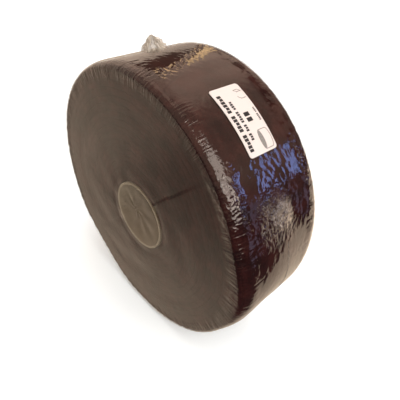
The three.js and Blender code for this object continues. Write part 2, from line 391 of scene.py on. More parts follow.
class Surface:
    """A mesh of points on a grid."""

    @staticmethod
    def faces(rows: int, columns: int, wrap_rows: bool, wrap_columns: bool) -> np.ndarray:
        """The grid's quads as four point numbers each, wrapped where asked."""
        row = np.arange(rows if wrap_rows else rows - 1)[:, None]
        column = np.arange(columns if wrap_columns else columns - 1)[None, :]
        below, right = (row + 1) % rows, (column + 1) % columns
        corners = (row * columns + column, row * columns + right, below * columns + right)
        corners = (*corners, below * columns + column)
        return np.stack([np.broadcast_to(c, (row.size, column.size)) for c in corners], -1)

    @classmethod
    def build(
        cls,
        name: str,
        points: np.ndarray,
        material: bpy.types.Material,
        wrap_rows: bool = False,
        wrap_columns: bool = False,
        caps: bool = False,
    ) -> bpy.types.Object:
        """Makes a piece from a grid of points, its faces turned outwards.

        Args:
            name: the piece's name.
            points: rows by columns by 3.
            material: its finish.
            wrap_rows: whether the last row joins the first.
            wrap_columns: whether the last column joins the first.
            caps: whether the first and last rows are closed with a flat face.

        Returns:
            The piece.
        """
        rows, columns = points.shape[:2]
        quads = cls.faces(rows, columns, wrap_rows, wrap_columns).reshape(-1, 4)
        faces = quads.tolist()
        if caps:
            last = (rows - 1) * columns
            faces.append(list(range(columns))[::-1])
            faces.append(list(range(last, last + columns)))
        mesh = bpy.data.meshes.new(name)
        mesh.from_pydata(points.reshape(-1, 3).tolist(), [], faces)
        return cls.finish(name, mesh, material)

    @staticmethod
    def finish(name: str, mesh: bpy.types.Mesh, material: bpy.types.Material) -> bpy.types.Object:
        """Merges a mesh's doubles, turns its faces outwards and makes it a smooth piece."""
        work = bmesh.new()
        work.from_mesh(mesh)
        bmesh.ops.remove_doubles(work, verts=work.verts, dist=1e-6)
        bmesh.ops.recalc_face_normals(work, faces=work.faces)
        work.to_mesh(mesh)
        work.free()
        mesh.shade_smooth()
        mesh.materials.append(material)
        return new_object(name, mesh)


def settle_piece(piece: bpy.types.Object, slot: str, *replaced: str) -> None:
    """Rides a piece on the roll and hides the frame's nodes that it stands for."""
    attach(piece, ROOT)
    if replaced:
        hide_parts(*replaced)
    log.info("%s: %d faces", piece.name, len(piece.data.polygons))


# ---- Finishes ----------------------------------------------------------------------


@dataclass(frozen=True)
class AbrasiveFibre:
    """Dull maroon fibres, coated with abrasive resin."""

    deep: tuple[float, float, float] = (0.007, 0.0013, 0.0013)
    mid: tuple[float, float, float] = (0.020, 0.0032, 0.0028)
    dusty: tuple[float, float, float] = (0.050, 0.013, 0.010)

    def material(self, name: str) -> bpy.types.Material:
        """Blotches and fibre-fine flecks of three maroons, rough and bumpy."""
        material, shading = new_material(name)
        place = shading.place()
        blotch = shading.noise(place, 60.0, 4.0)
        fleck = shading.noise(place, 900.0, 4.0)
        tone = blotch * 0.45 + fleck * 0.55
        stops = [(0.40, self.deep), (0.52, self.mid), (0.70, self.dusty)]
        colour = shading.node("ShaderNodeValToRGB", {"stops": stops}, {"Fac": tone})
        normal = shading.bump(fleck, 0.6 * MM)
        inputs = {"Base Color": colour, "Roughness": 0.9, "Normal": normal}
        inputs["Specular IOR Level"] = 0.08
        shading.surface(shading.node("ShaderNodeBsdfPrincipled", None, inputs))
        return material


@dataclass(frozen=True)
class KraftPaper:
    """Grey-brown core board."""

    pale: tuple[float, float, float] = (0.28, 0.225, 0.145)
    dark: tuple[float, float, float] = (0.19, 0.15, 0.095)

    def material(self) -> bpy.types.Material:
        """Board with long pulp fibres and a faint mottle."""
        material, shading = new_material("kraft_paper")
        place = shading.place()
        fibre = shading.noise(shading.stretched(place, (1.0, 0.15, 1.0)), 1400.0, 3.0)
        mottle = shading.noise(place, 120.0, 4.0)
        tone = fibre * 0.4 + mottle * 0.6
        colour = shading.blend(tone, self.dark, self.pale)
        normal = shading.bump(fibre, 0.08 * MM)
        inputs = {"Base Color": colour, "Roughness": 0.82, "Normal": normal}
        shading.surface(shading.node("ShaderNodeBsdfPrincipled", None, inputs))
        return material


@dataclass(frozen=True)
class ShrinkFilm:
    """Clear film: it mirrors by the angle it is seen at and shows the rest through."""

    tint: tuple[float, float, float] = (1.0, 0.98, 0.96)
    roughness: float = 0.05
    straight_on: float = 0.04  # what one face of the film mirrors, seen straight on
    milk_colour: tuple[float, float, float] = (0.62, 0.58, 0.50)
    line_height: float = 0.13 * MM  # draw lines, round the tread
    pleat_height: float = 0.45 * MM  # on the shoulder
    pleat_reach: float = 16 * MM  # how unevenly the pleats end
    serration_height: float = 0.6 * MM  # finer pleats, at the face's rim
    crumple_height: float = 1.3 * MM  # on the shoulder, in any direction
    crackle_height: float = 1.8 * MM  # under the sticker
    waviness: float = 0.2 * MM  # everywhere

    def relief(self, shading: Shading) -> Value:
        """The normal: draw lines round the tread, pleats at the shoulder, crackle."""
        place = shading.place()
        spoke, distance, degrees = shading.round_roll(place)
        _, y, _ = shading.axes(place)
        on_tread = distance.smooth(Roll.radius - 12 * MM, Roll.radius - 3 * MM)
        drawn = on_tread * (1.0 - 0.8 * degrees.between(16.0, 44.0, 5.0))
        lines = shading.noise(shading.stretched(place, (0.06, 1.0, 0.06)), 260.0, 2.0)
        normal = shading.bump(lines * drawn, self.line_height)

        reach = shading.noise(spoke, 14.0, 2.0) * self.pleat_reach
        across = y.maths("ABSOLUTE", y)
        start = (distance + reach).smooth(Roll.face_radius - 4 * MM, Roll.face_radius + 8 * MM)
        end = (across + reach).smooth(Roll.face_y - 17 * MM, Roll.face_y - 5 * MM)
        pleats = shading.noise(spoke, 52.0, 1.0)
        normal = shading.bump(pleats * (start * end), self.pleat_height, normal)
        rim = (across + reach * 0.5).smooth(Roll.face_y - 5 * MM, Roll.face_y + 1 * MM)
        serration = shading.noise(spoke, 85.0, 1.5)
        normal = shading.bump(serration * (start * rim), self.serration_height, normal)
        crumple = shading.noise(place, 210.0, 1.5)
        rough = degrees.between(22.0, 42.0, 4.0) * 0.8 + 0.2
        normal = shading.bump(crumple * (start * end) * rough, self.crumple_height, normal)

        crackled = degrees.between(12.0, 28.0, 5.0) * y.between(-28 * MM, 12 * MM, 8 * MM)
        crackle = shading.noise(place, 300.0, 2.0) * (crackled * 0.9 + on_tread * 0.03)
        normal = shading.bump(crackle, self.crackle_height, normal)
        return shading.bump(shading.noise(place, 90.0, 3.0), self.waviness, normal)

    def painted_shade_and_specks(self, shading: Shading) -> Value:
        """How much less the film mirrors, 0 to 1: painted shade, and specks stuck down.

        A straight crease runs from the core to the rim of the front face and the film is
        drawn in round a quarter of the core. The film mirrors less along both, which is
        painted shade that darkens them. Specks of it stick to the web along the back shoulder.
        """
        place = shading.place()
        x, y, z = shading.axes(place)
        out = z - Roll.centre_height
        lie = math.radians(Roll.crease_angle)
        wander = shading.noise(place, 60.0, 2.0) * (2 * MM) - 1 * MM
        aside = x * math.sin(lie) - out * math.cos(lie) - Roll.crease_aside + wander
        along = x * math.cos(lie) + out * math.sin(lie)
        # painted shade: the film mirrors less along the face's crease, so the crease reads dark
        crease = aside.maths("ABSOLUTE", aside).smooth(3.4 * MM, 0.2 * MM)
        crease = crease * along.between(44 * MM, 128 * MM, 18 * MM) * 0.6

        core_x, core_z = x - Roll.core_x, z - Roll.core_z
        from_core = (core_x**2.0 + core_z**2.0) ** 0.5
        around = core_z.maths("ARCTAN2", core_z, core_x) * DEGREES
        # painted shade in the hollow where the film is drawn in round a quarter of the core
        painted_hollow_shade = from_core.between(41.5 * MM, 46 * MM, 2 * MM) * around.between(16.0, 44.0, 9.0)
        painted_face_shade = crease.maths("MAXIMUM", crease, 0.9 * painted_hollow_shade) * y.smooth(-50 * MM, -54 * MM)

        degrees = out.maths("ARCTAN2", out, x) * DEGREES
        specks = shading.noise(place, 130.0, 2.0).smooth(0.48, 0.58)
        behind = y.between(35 * MM, 47 * MM, 4 * MM) * degrees.between(8.0, 84.0, 8.0)
        return painted_face_shade + 0.8 * specks * behind

    def material(self, name: str, milk: float = 0.0) -> bpy.types.Material:
        """A mirror over a clear sheet.

        Each face mirrors straight_on + (1 - straight_on) * (1 - cosine)^5, and light
        goes back and forth between the two, which makes it 2m / (1 + m) in all.

        Args:
            name: the finish's name.
            milk: share of the light that the sheet scatters, from 0 to 1.
        """
        material, shading = new_material(name)
        normal = self.relief(shading)
        facing = shading.node("ShaderNodeLayerWeight", None, {"Blend": 0.5, "Normal": normal}, 1)
        one = self.straight_on + (1.0 - self.straight_on) * facing**5.0
        # the mirror share is cut by painted shade at the crease and the core's hollow, and at
        # stuck-down specks
        share = 2.0 * one / (1.0 + one) * (1.0 - self.painted_shade_and_specks(shading))
        clear = shading.node("ShaderNodeBsdfTransparent")
        if milk:
            inputs = {"Base Color": (*self.milk_colour, 1.0), "Roughness": 0.4, "Normal": normal}
            body = shading.node("ShaderNodeBsdfPrincipled", None, inputs)
            clear = shading.node("ShaderNodeMixShader", None, {0: milk, 1: clear, 2: body})
        inputs = {"Color": (*self.tint, 1.0), "Roughness": self.roughness, "Normal": normal}
        gloss = shading.node("ShaderNodeBsdfGlossy", None, inputs)
        film = shading.node("ShaderNodeMixShader", None, {0: share, 1: clear, 2: gloss})
        shading.surface(film)
        return material


@dataclass(frozen=True)
class StickerPaper:
    """Coated white paper."""

    white: tuple[float, float, float] = (0.665, 0.61, 0.585)

    def material(self) -> bpy.types.Material:
        """White with the faintest mottle and a soft sheen."""
        material, shading = new_material("sticker_paper")
        mottle = shading.noise(shading.place(), 700.0, 3.0)
        shade = tuple(0.95 * channel for channel in self.white)
        colour = shading.blend(mottle, shade, self.white)
        normal = shading.bump(mottle, 0.02 * MM)
        inputs = {"Base Color": colour, "Roughness": 0.5, "Normal": normal}
        shading.surface(shading.node("ShaderNodeBsdfPrincipled", None, inputs))
        return material


@dataclass(frozen=True)
class Ink:
    """Matt printing ink."""

    colour: tuple[float, float, float] = (0.012, 0.011, 0.012)

    def material(self, name: str) -> bpy.types.Material:
        """Flat ink with a slightly uneven coat."""
        material, shading = new_material(name)
        coat = shading.noise(shading.place(), 1500.0, 2.0)
        pale = tuple(2.2 * channel for channel in self.colour)
        colour = shading.blend(coat.smooth(0.55, 0.75), self.colour, pale)
        inputs = {"Base Color": colour, "Roughness": 0.6}
        shading.surface(shading.node("ShaderNodeBsdfPrincipled", None, inputs))
        return material


# ---- Sub-assemblies ----------------------------------------------------------------


@dataclass
class WebWinding:
    """The abrasive web: one strip, wound from the core out."""

    steps_per_turn: int = 240
    step_rise_share: float = 0.03
    step_fade_turns: float = 6.0
    gap: float = 0.1 * MM
    waver: float = 0.06 * MM  # how unevenly the turns lie on each other
    fray: float = 0.25 * MM  # and how unevenly their edges are cut
    skew_turns: float = 0.12  # the last part of the strip, which ends on a slant

    @property
    def thickness(self) -> float:
        """The web's own thickness under the winding's tension."""
        return (Roll.web_outer - Roll.web_inner - Roll.tail_step) / Roll.web_turns

    def under_side(self, turns: np.ndarray) -> np.ndarray:
        """Radius of the web's under side after some turns.

        It grows evenly by a thickness a turn. Each turn lies on the one below and
        climbs over the first end at the same place, a step that fades out as it goes
        up. The last turn is pressed down by the film to the tail's step.
        """
        capped = np.minimum(turns, Roll.web_turns)
        share = capped % 1.0
        rise = ramp(share, 1 - self.step_rise_share, 1.0)
        lag = np.exp(-capped / self.step_fade_turns) * (share - rise)
        past = np.maximum(turns - Roll.web_turns, 0.0)
        return Roll.web_inner + self.thickness * (capped - lag) + Roll.tail_step * past

    def wound(self, radius: np.ndarray, degrees: np.ndarray) -> tuple[np.ndarray, np.ndarray]:
        """X and Z on a turn from the roll's axis; its centre moves out from the core's."""
        inward = np.clip((Roll.web_outer - radius) / (Roll.web_outer - Roll.web_inner), 0, 1)
        angle = np.radians(degrees)
        x = radius * np.cos(angle) + Roll.core_x * inward
        z = radius * np.sin(angle) + (Roll.core_z - Roll.centre_height) * inward
        return x, z

    def section(self) -> np.ndarray:
        """Outline of the strip: share of its half width, share of its thickness."""
        turn = np.radians(np.linspace(0, 90, 4))
        sideways, up = 1.0 - 0.016 * (1 - np.cos(turn)), 0.5 + 0.5 * np.sin(turn)
        right_top = np.stack([sideways, up], axis=-1)
        right_bottom = right_top[::-1] * (1, -1) + (0, 1)
        right = np.concatenate([right_bottom[:-1], right_top])
        left = right[::-1] * (-1, 1)
        return np.concatenate([right, left])

    def build(self, material: bpy.types.Material) -> None:
        """Sweeps the strip's section along the spiral."""
        count = round(Roll.web_turns * self.steps_per_turn) + 1
        turns = np.linspace(0.0, Roll.web_turns, count)[:, None]
        degrees = Roll.web_start + 360.0 * turns
        under = self.under_side(turns)
        over = self.under_side(turns + 1.0) - self.gap
        section = self.section()
        width, depth = section[:, 0][None, :], section[:, 1][None, :]
        waver = self.waver * ripple(degrees, turns * 0.01, 11, (3, 40), (0.0, 60.0))
        radius = under + (over - under) * depth + waver * (0.2 + 0.8 * depth)

        distance = np.hypot(*self.wound(radius, degrees))
        into = (distance - Roll.face_radius) / (Roll.shoulder_out - Roll.film_gap)
        inset = 1 - np.sqrt(1 - np.clip(into, 0.0, 1.0) ** 2)
        inset = (Roll.shoulder_in - Roll.film_gap) * inset
        frayed = self.fray * ripple(degrees, turns * 0.05, 12, (20, 160), (0.0, 80.0))
        half = Roll.half_web - 0.3 * MM - inset + np.clip(frayed, -0.8 * MM, 0.3 * MM)
        y = half * width

        skewed = ramp(turns, Roll.web_turns - self.skew_turns, Roll.web_turns)
        skewed = skewed * Roll.tail_skew * y
        points = Roll.slumped(*self.wound(radius, degrees + skewed), y)
        piece = Surface.build("web", points, material, wrap_columns=True, caps=True)
        settle_piece(piece, "abrasive_web", "abrasive_web", "web_tack_tape")


@dataclass
class PaperCore:
    """The core's plies, each a strip wound as a helix with its edges butted."""

    names: tuple[str, ...] = (
        "core_inner_ply",
        "core_middle_ply_1",
        "core_middle_ply_2",
        "core_middle_ply_3",
        "core_outer_ply",
    )
    thickness: float = 0.44 * MM
    pitch: float = 0.5 * MM
    lead: float = 110 * MM
    seam_gap: float = 0.5 * MM
    seam_phase: float = 144.0
    step: float = 3.0

    def ply(self, number: int, material: bpy.types.Material) -> None:
        """One ply: at each angle it runs from its own seam up to the next turn's."""
        half = Roll.half_web
        turns = (2 * half + self.lead) / self.lead
        count = int(turns * 360.0 / self.step) - 1
        wound = (np.arange(count) + 1)[:, None] * self.step
        upper = -half + self.lead * wound / 360.0
        low = np.maximum(-half, upper - self.lead + self.seam_gap)
        high = np.minimum(half, upper)
        inner = Roll.bore_radius + number * self.pitch
        across = np.array([0, 0.02, 0.25, 0.5, 0.75, 0.98, 1])
        level = np.repeat([0.0, 1.0], len(across))[None, :]
        share = np.concatenate([across, across[::-1]])
        y = low + (high - low) * share[None, :]
        angle = np.radians(Roll.web_start + number * self.seam_phase + wound)
        radius = inner + self.thickness * level
        x = Roll.core_x + radius * np.cos(angle)
        z = Roll.core_z + radius * np.sin(angle)
        points = np.stack(np.broadcast_arrays(x, y, z), axis=-1)
        name = self.names[number]
        piece = Surface.build(name + "_board", points, material, wrap_columns=True, caps=True)
        settle_piece(piece, "kraft_paper", name)

    def build(self, material: bpy.types.Material) -> None:
        """All the plies, from the bore out."""
        for number in range(len(self.names)):
            self.ply(number, material)


class Side(Enum):
    """Which of the bag's two panels."""

    FRONT = -1
    BACK = 1


@dataclass
class ShrunkFilm:
    """How far the shrunk film lies below its smooth shape, all in metres.

    The film is pleated where it turns the shoulder, drawn into lines round the tread,
    crumpled where a corner of the bag was gathered, and sags past the web's tail.
    """

    pleat_depth: float = 0.32 * MM
    line_depth: float = 0.018 * MM
    swell_depth: float = 0.14 * MM
    crackle_depth: float = 0.45 * MM
    star_depth: float = 0.70 * MM
    fine_depth: float = 0.025 * MM
    tail_sag: float = 0.7 * MM
    tail_edge: float = 0.15 * MM
    tail_crumple: float = 0.28 * MM
    crackle_angle: float = 20.0
    crackle_y: float = -9 * MM
    smooth_angle: float = 50.0  # where the shoulder has the fewest pleats
    # The bag's gathered corners: angle, y in millimetres and how strong their folds are.
    gathers: tuple[tuple[float, float, float], ...] = (
        (20.0, 3.0, 0.12),
        (110.0, 12.0, 1.0),
        (-70.0, 6.0, 0.8),
        (200.0, 6.0, 0.8),
    )

    def pleats(self, degrees: np.ndarray, arc: np.ndarray) -> np.ndarray:
        """Sharp folds across the shoulder.

        A band of waves round the roll, its absolute value giving a sharp crest at each
        zero, kept to the shoulder by two ramps whose ends wander from fold to fold.

        Args:
            degrees: angle round the roll.
            arc: distance along the film's profile from the face's edge outwards.
        """
        still = np.zeros(1)
        wave = ripple(degrees, still, 21, (60, 185), (0.0, 1.0), 50)
        reach = 4 * MM * ripple(degrees, still, 22, (30, 120), (0.0, 1.0), 30)
        depth = 0.60 + 0.45 * ripple(degrees, still, 23, (9, 60), (0.0, 1.0), 30)
        depth = depth * (1 - 0.7 * bell(angle_from(degrees, self.smooth_angle), 0.0, 9.0))
        start = ramp(arc + reach, -9 * MM, 4 * MM)
        end = 1 - ramp(arc - 1.6 * reach, 9 * MM, 20 * MM)
        fold = np.minimum(np.abs(wave), 1.6) / 1.6 * (0.4 + 0.6 * ramp(arc, -2 * MM, 7 * MM))
        return self.pleat_depth * np.clip(depth, 0.05, 1.4) * fold * start * end

    def tail(self, degrees: np.ndarray, y: np.ndarray) -> np.ndarray:
        """The film's sag past the web's slanting tail, and its crumple along the edge."""
        past = np.radians(angle_from(degrees, Roll.tail_angle + Roll.tail_skew * y)) * Roll.radius
        past = past + 1.2 * MM * ripple(degrees, y, 31, (0, 20), (60.0, 220.0), 30)
        sag = ramp(past, 0.0, 16 * MM) * (1 - ramp(past, 30 * MM, 190 * MM))
        crumple = ripple(degrees, y, 32, (60, 160), (60.0, 260.0), 50)
        edge = bell(past, 1.5 * MM, 4 * MM)
        return self.tail_sag * sag + edge * (self.tail_edge + self.tail_crumple * crumple)

    def star(self, degrees: np.ndarray, y: np.ndarray) -> np.ndarray:
        """Pleats that radiate from the bag's gathered corners and die out round them."""
        total = np.zeros(np.broadcast(degrees, y).shape)
        for number, (centre, middle, strength) in enumerate(self.gathers):
            along = np.radians(angle_from(degrees, centre)) * Roll.radius
            across = y - middle * MM
            distance = np.hypot(along, across)
            turn = np.degrees(np.arctan2(across, along))
            fold = ripple(turn, distance, 71 + number, (9, 26), (4.0, 30.0), 30)
            total += strength * np.abs(fold) * bell(distance, 9 * MM, 13 * MM)
        return total

    def on_tread(self, degrees: np.ndarray, y: np.ndarray) -> np.ndarray:
        """Swells, drawn lines, crackle and gathers on the tread."""
        swell = self.swell_depth * (1 + ripple(degrees, y, 24, (2, 14), (4.0, 22.0)))
        lines = self.line_depth * ripple(degrees, y, 25, (0, 12), (60.0, 170.0), 50)
        near = bell(angle_from(degrees, self.crackle_angle), 0.0, 7.5)
        near = near * bell(y, self.crackle_y, 19 * MM)
        spread = ripple(degrees, y, 26, (40, 130), (15.0, 110.0), 60)
        facets = ripple(degrees, y, 27, (80, 260), (50.0, 200.0), 60)
        crackle = near * (np.abs(spread) + 0.7 * np.abs(facets))
        everywhere = self.fine_depth * ripple(degrees, y, 28, (30, 120), (40.0, 160.0), 60)
        gathered = self.star_depth * self.star(degrees, y)
        return swell + lines + everywhere + gathered + self.crackle_depth * crackle

    def depth(self, degrees: np.ndarray, y: np.ndarray, arc: np.ndarray) -> np.ndarray:
        """How far the film lies below its smooth shape.

        Args:
            degrees: angle round the roll.
            y: distance along the roll's axis.
            arc: distance along the profile from the face's edge outwards.
        """
        tread = ramp(arc, 8 * MM, 20 * MM)
        loose = 1 - bell(angle_from(degrees, -90.0), 0.0, 16.0)
        low = self.pleats(degrees, arc)
        low = low + tread * (self.on_tread(degrees, y) + self.tail(degrees, y))
        return np.maximum(low, 0.0) * loose


@dataclass
class FilmEdge:
    """One panel of the bag outside its face: rim, shoulder and share of the tread."""

    side: Side
    columns: int = 1440
    rim_rows: int = 9
    shoulder_rows: int = 14
    tread_rows: int = 40
    rim_width: float = 18 * MM
    shrunk: ShrunkFilm = field(default_factory=ShrunkFilm)

    def build(self, material: bpy.types.Material) -> None:
        """A grid: rows along the profile from rim to seam, columns round the roll."""
        degrees = np.linspace(0.0, 360.0, self.columns, endpoint=False)[None, :]
        rim = np.linspace(-self.rim_width, 0.0, self.rim_rows + 1)
        turn = np.linspace(0.0, math.pi / 2, self.shoulder_rows + 1)[1:]
        share = np.linspace(0.0, 1.0, self.tread_rows + 1)[1:]
        lean = np.concatenate([0 * rim, turn, 0 * share + math.pi / 2])
        inward = np.concatenate([rim, 0 * turn, 0 * share])
        out = Roll.face_radius + inward + Roll.shoulder_out * np.sin(lean)
        inset = Roll.shoulder_in * (1 - np.cos(lean))
        arc = np.cumsum(np.hypot(np.gradient(out), np.gradient(inset)))
        arc -= arc[self.rim_rows]
        face_on = np.arctan2(Roll.shoulder_in * np.sin(lean), Roll.shoulder_out * np.cos(lean))
        rows = (out, inset, arc, face_on, np.concatenate([0 * rim, 0 * turn, share]))
        out, inset, arc, face_on, share = (row[:, None] for row in rows)
        side = self.side.value
        edge = side * (Roll.face_y - inset)
        y = edge + (Roll.seam_y(degrees) - edge) * share
        low = self.shrunk.depth(degrees, y, arc + np.abs(y - edge))
        out = out - low * np.sin(face_on)
        y = y - side * low * np.cos(face_on)
        name = self.side.name.lower()
        piece = Surface.build(
            f"film_{name}_edge", Roll.on_tread(out, degrees, y), material, wrap_columns=True
        )
        settle_piece(piece, "clear_film", f"film_{name}_panel")


@dataclass
class FilmFace:
    """The flat middle of one of the bag's panels, drawn tight over the core."""

    side: Side
    columns: int = 360
    rows: int = 90
    rim_width: float = 18 * MM
    core_dip: float = 1.0 * MM
    ring_depth: float = 0.35 * MM  # round the core's rim
    crease_depth: float = 0.6 * MM
    wave_depth: float = 0.12 * MM

    def dip(self, radius: np.ndarray, degrees: np.ndarray) -> np.ndarray:
        """How far the face lies below flat: over the core, down the crease, in waves."""
        angle = np.radians(degrees)
        x = radius * np.cos(angle) - Roll.core_x
        z = radius * np.sin(angle) - Roll.core_z + Roll.centre_height
        from_core = np.hypot(x, z)
        over_core = 1 - ramp(from_core, 15 * MM, 39 * MM)
        ring = bell(from_core, 46 * MM, 5 * MM)
        aside = radius * np.sin(math.radians(Roll.crease_angle) - angle) - Roll.crease_aside
        crease = bell(aside, 0.0, 2.2 * MM) * ramp(from_core, 41 * MM, 50 * MM)
        crease = crease * (1 - ramp(radius, 100 * MM, 128 * MM))
        waves = ripple(degrees, radius, 41, (1, 9), (6.0, 30.0), 40)
        settled = 1 - ramp(radius, 112 * MM, 129 * MM)
        low = self.core_dip * over_core + self.ring_depth * ring + self.crease_depth * crease
        return low + self.wave_depth * (1.5 + waves) * settled

    def build(self, material: bpy.types.Material) -> None:
        """A disc: rows from its middle to its rim, columns round the roll."""
        degrees = np.linspace(0.0, 360.0, self.columns, endpoint=False)[None, :]
        radius = np.linspace(0.0, Roll.face_radius - self.rim_width, self.rows)[:, None]
        low = np.maximum(self.dip(radius, degrees), 0.0)
        low = low * (1 - ramp(radius, 0.85 * radius.max(), radius.max()))
        y = self.side.value * (Roll.face_y - low)
        points = Roll.on_tread(np.broadcast_to(radius, y.shape), degrees, y)
        name = self.side.name.lower()
        piece = Surface.build(f"film_{name}_face", points, material, wrap_columns=True)
        settle_piece(piece, "clear_film")


@dataclass
class FilmWeld:
    """A stretch of the weld between the two panels, a thin wandering bead."""

    name: str
    start: float
    end: float
    width: float = 1.1 * MM
    height: float = 0.45 * MM
    kink: float = 0.25 * MM
    sides: int = 10

    def build(self, material: bpy.types.Material) -> None:
        """An oval bead along the seam, half sunk in the film, thinned at its ends."""
        count = int((self.end - self.start) * 4)
        share = np.linspace(0.0, 1.0, count)[:, None]
        degrees = self.start + (self.end - self.start) * share
        turn = np.linspace(0, 2 * math.pi, self.sides, endpoint=False)[None, :]
        taper = np.sqrt(np.clip(1 - np.abs(2 * share - 1) ** 8, 0.0, 1.0)) + 0.02
        lumps = 1 + 0.3 * ripple(degrees, 0 * share, 51, (60, 400), (0.0, 1.0), 30)
        kink = self.kink * ripple(degrees, 0 * share, 52, (40, 300), (0.0, 1.0), 30)
        y = Roll.seam_y(degrees) + kink + self.width / 2 * taper * lumps * np.cos(turn)
        low = ShrunkFilm().depth(degrees, Roll.seam_y(degrees), 0 * share + 0.1)
        radius = Roll.radius - low + self.height * taper * np.sin(turn)
        points = Roll.on_tread(radius, degrees, y)
        piece = Surface.build(f"weld_{self.name}", points, material, wrap_columns=True, caps=True)
        settle_piece(piece, "gathered_film", f"film_seal_{self.name}")


@dataclass
class FilmGather:
    """A corner of the bag, shrunk into a crumpled tuft."""

    name: str
    angle: float
    y: float
    length: float
    width: float
    height: float
    seed: int
    rows: int = 26
    columns: int = 150
    sharpness: float = 1.0

    def build(self, material: bpy.types.Material) -> None:
        """A pleated cone: rows from its foot to its tip, columns round it.

        Its radius falls from 1 at the foot to nearly 0 at the tip and is folded in and
        out by bands of waves that deepen half way up.
        """
        up = np.linspace(0.0, 1.0, self.rows)[:, None]
        around = np.linspace(0.0, 360.0, self.columns, endpoint=False)[None, :]
        fold = ripple(around, up * 0.02, self.seed, (5, 16), (0.0, 60.0), 30)
        crumple = ripple(around, up * 0.02, self.seed + 1, (14, 45), (20.0, 160.0), 40)
        deep = np.sin(np.pi * np.clip(up * 0.9 + 0.05, 0, 1))
        spread = (1 - up) ** self.sharpness * (1 + deep * (0.22 * fold + 0.10 * crumple)) + 0.03
        lift = up + deep * (0.05 * crumple + 0.07 * fold)
        turn = np.radians(around)
        x = self.length * spread * np.cos(turn)
        y = self.y + self.width * spread * np.sin(turn)
        foot = ShrunkFilm().depth(self.angle + np.zeros(1), self.y + np.zeros(1), np.array([0.1]))
        radius = Roll.radius - foot - 0.4 * MM + (self.height + foot) * np.clip(lift, 0, 1)
        degrees = self.angle + np.degrees(x / Roll.radius)
        points = Roll.on_tread(radius, degrees, y)
        name = f"gather_{self.name}"
        piece = Surface.build(name, points, material, wrap_columns=True, caps=True)
        settle_piece(piece, "gathered_film", f"film_corner_{self.name}")


@dataclass
class FilmBag:
    """The whole bag: two panels, their welds and the gathered corners."""

    def build(
        self, clear: bpy.types.Material, gathered: bpy.types.Material, weld: bpy.types.Material
    ) -> None:
        """Every piece of the bag.

        Args:
            clear: the finish of the stretched film.
            gathered: the finish of the corner that stands up.
            weld: the finish of the welds.
        """
        FilmEdge(Side.FRONT).build(clear)
        FilmFace(Side.FRONT).build(clear)
        FilmEdge(Side.BACK, tread_rows=32).build(clear)
        FilmFace(Side.BACK, rows=60, crease_depth=0.0).build(clear)
        for name, start, end in (("right", -58, 10), ("bottom", -150, -102), ("left", 122, 188)):
            FilmWeld(name, start, end).build(weld)
        top = FilmGather("top", 109.0, 12 * MM, 15 * MM, 12 * MM, 13.5 * MM, 61, sharpness=1.1)
        top.build(gathered)
        flat = {"rows": 30, "columns": 200, "sharpness": 0.8}
        tufts = (("right", 20, 3 * MM, 63), ("bottom", -70, 6 * MM, 65), ("left", -160, 6 * MM, 67))
        for name, angle, y, seed in tufts:
            FilmGather(name, angle, y, 14 * MM, 13 * MM, 2.2 * MM, seed, **flat).build(clear)


@dataclass
class Sticker:
    """The label on the tread."""

    length: float = 70 * MM
    width: float = 35 * MM
    corner: float = 3 * MM
    middle: float = 54.4
    y: float = 1 * MM
    lift: float = 0.25 * MM
    thickness: float = 0.15 * MM

    def on_roll(self, along: np.ndarray, across: np.ndarray, lift: float) -> np.ndarray:
        """Places on the sticker, bent round the tread.

        Args:
            along: metres from its middle, the way it is read.
            across: metres from its middle, towards the back face.
            lift: metres above the film.
        """
        degrees = self.middle + np.degrees(along / Roll.radius)
        return Roll.on_tread(Roll.radius + lift + 0 * along, degrees, self.y + across)

    def build(self, paper: bpy.types.Material) -> None:
        """The paper, with rounded corners."""
        ends = self.corner * (1 - np.cos(np.radians(np.linspace(0, 90, 7))))
        middles = np.linspace(self.corner, self.length - self.corner, 40)[1:-1]
        station = np.concatenate([ends, middles, self.length - ends[::-1]])[:, None]
        near = np.minimum(np.minimum(station, self.length - station), self.corner)
        cut = self.corner - np.sqrt(self.corner**2 - (self.corner - near) ** 2)
        half = self.width / 2 - cut
        share = np.linspace(-1, 1, 21)[None, :]
        along = station - self.length / 2 + 0 * share
        top = self.on_roll(along, half * share, self.lift + self.thickness)
        bottom = self.on_roll(along, half * share, self.lift)
        points = np.concatenate([top, bottom[:, ::-1]], axis=1)
        piece = Surface.build("sticker", points, paper, wrap_columns=True, caps=True)
        settle_piece(piece, "label_paper", "label")


